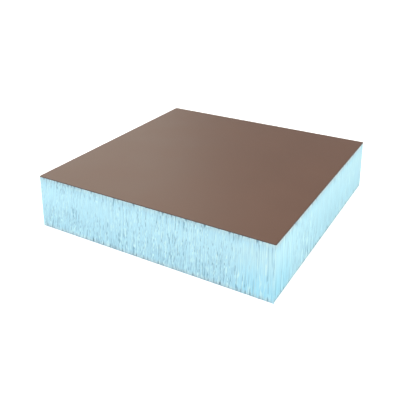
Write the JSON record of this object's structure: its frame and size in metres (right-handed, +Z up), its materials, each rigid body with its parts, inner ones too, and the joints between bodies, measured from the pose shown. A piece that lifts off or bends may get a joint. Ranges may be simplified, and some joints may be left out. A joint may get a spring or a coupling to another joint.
{
  "type": "cement-coated xps board",
  "caption": "Square slab of pale blue extruded foam with a thin, smooth brown-grey cement coat on its upper face; insulates and gives a flat base for tiling.",
  "frame": {"origin": "middle of the underside, on the surface that the board lies on", "axes": "+Z up, out of the coated face; +X and +Y along the board's two equal sides"},
  "size_m": [0.23, 0.23, 0.05],
  "materials": {
    "blue_foam": "pale blue extruded foam, matt, with fine upright cutting streaks on the sawn sides",
    "cement_coat": "brown-grey polymer cement, trowelled smooth, satin"
  },
  "bodies": {
    "root": {"foam_slab": "blue_foam", "cement_coat": "cement_coat"}
  },
  "joints": []
}
